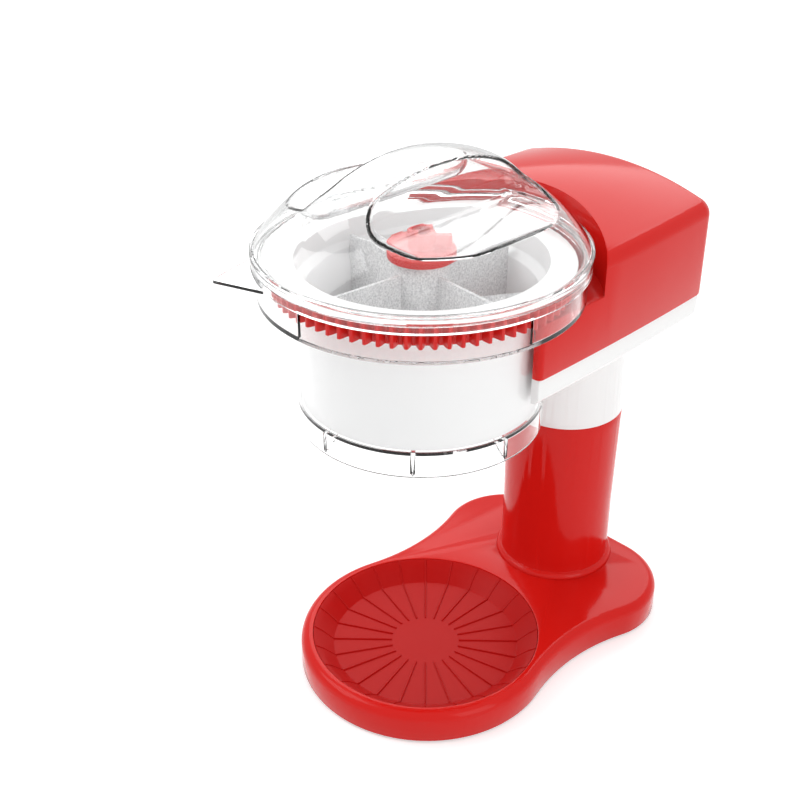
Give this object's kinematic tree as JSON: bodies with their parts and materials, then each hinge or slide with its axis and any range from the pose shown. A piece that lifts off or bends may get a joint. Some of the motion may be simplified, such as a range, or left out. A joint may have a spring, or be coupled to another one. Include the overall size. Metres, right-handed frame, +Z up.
{
  "type": "countertop ice shaver",
  "caption": "Countertop ice shaver: motor head on a column, clear hopper with a geared vane drum over a blade, domed lid, drip tray in the base",
  "frame": {"origin": "on the ground under the middle of the footprint", "axes": "+Z up, -Y to the front where the bowl stands, +X to the right for someone who faces the front"},
  "size_m": [0.22, 0.3298, 0.4085],
  "materials": {
    "red_plastic": "glossy red moulding",
    "white_plastic": "glossy white moulding",
    "frosted_plastic": "white, frosted on the vanes and ramps",
    "clear_plastic": "crystal clear, polished",
    "tray_plastic": "glossy red, a little darker than the base",
    "black_plastic": "fine matt grain",
    "grey_plastic": "natural unfilled plastic",
    "rubber": "matt soft rubber",
    "steel": "bright zinc or stainless",
    "brass": "turned brass"
  },
  "bodies": {
    "stand": {"base_shell": "red_plastic", "base_plate": "black_plastic", "rubber_feet": "rubber", "base_screws": "steel", "column_sleeve": "red_plastic", "column_neck": "white_plastic", "column_screws": "steel", "neck_screws": "steel", "head_underside": "white_plastic", "head_cover": "red_plastic", "head_screws": "steel", "gear_plate": "steel", "gear_bridge": "steel", "bridge_pillars": "steel", "bridge_screws": "steel", "idler_stud": "steel", "shaft_bushes": "brass", "shaft_seal": "rubber", "motor_can": "steel", "motor_screws": "steel", "motor_field": "steel", "switch_body": "black_plastic", "cord_bushing": "black_plastic"},
    "tray": {"drip_tray": "tray_plastic"},
    "bowl": {"hopper": "clear_plastic", "hopper_ledge": "clear_plastic", "hopper_collar": "clear_plastic", "pull_tab": "clear_plastic", "hopper_floor": "clear_plastic", "ice_blade": "steel", "blade_screws": "steel", "spindle": "steel", "thrust_washer": "grey_plastic"},
    "rotor": {"drum": "white_plastic", "drum_rim": "white_plastic", "drum_vanes": "frosted_plastic", "ring_gear": "red_plastic", "locking_knob": "red_plastic"},
    "cover": {"lid": "clear_plastic"},
    "drive": {"drive_shaft": "steel", "drive_pinion": "red_plastic", "shaft_gear": "grey_plastic"},
    "idler": {"idler_gear": "grey_plastic"},
    "motor": {"motor_rotor": "steel", "motor_pinion": "brass"},
    "rocker": {"switch_rocker": "black_plastic"}
  },
  "joints": [
    {"name": "tray_lift", "type": "slide", "parent": "stand", "child": "tray", "axis": [0, 0, 1], "range_m": [0, 0.06]},
    {"name": "hopper_lift", "type": "slide", "parent": "stand", "child": "bowl", "axis": [0, 0, 1], "range_m": [0, 0.136]},
    {"name": "drum_spin", "type": "hinge", "parent": "bowl", "child": "rotor", "pos_m": [0, -0.04542, 0.29], "axis": [0, 0, 1], "continuous": true},
    {"name": "lid_lift", "type": "slide", "parent": "bowl", "child": "cover", "axis": [0, 0, 1], "range_m": [0, 0.08]},
    {"name": "drive_spin", "type": "hinge", "parent": "stand", "child": "drive", "pos_m": [0, 0.07052, 0.3], "axis": [0, 0, 1], "continuous": true},
    {"name": "idler_spin", "type": "hinge", "parent": "stand", "child": "idler", "pos_m": [0.02081, 0.10172, 0.271], "axis": [0, 0, 1], "continuous": true},
    {"name": "motor_spin", "type": "hinge", "parent": "stand", "child": "motor", "pos_m": [0, 0.11558, 0.221], "axis": [0, 0, 1], "continuous": true},
    {"name": "switch_rock", "type": "hinge", "parent": "stand", "child": "rocker", "pos_m": [0, 0.16058, 0.306], "axis": [-1, 0, 0], "range_deg": [0, 18]}
  ],
  "couplings": [
    {"joint": "drive_spin", "follows": "drum_spin", "ratio": -4.5},
    {"joint": "idler_spin", "follows": "drum_spin", "ratio": 5.1429},
    {"joint": "motor_spin", "follows": "drum_spin", "ratio": -12}
  ]
}
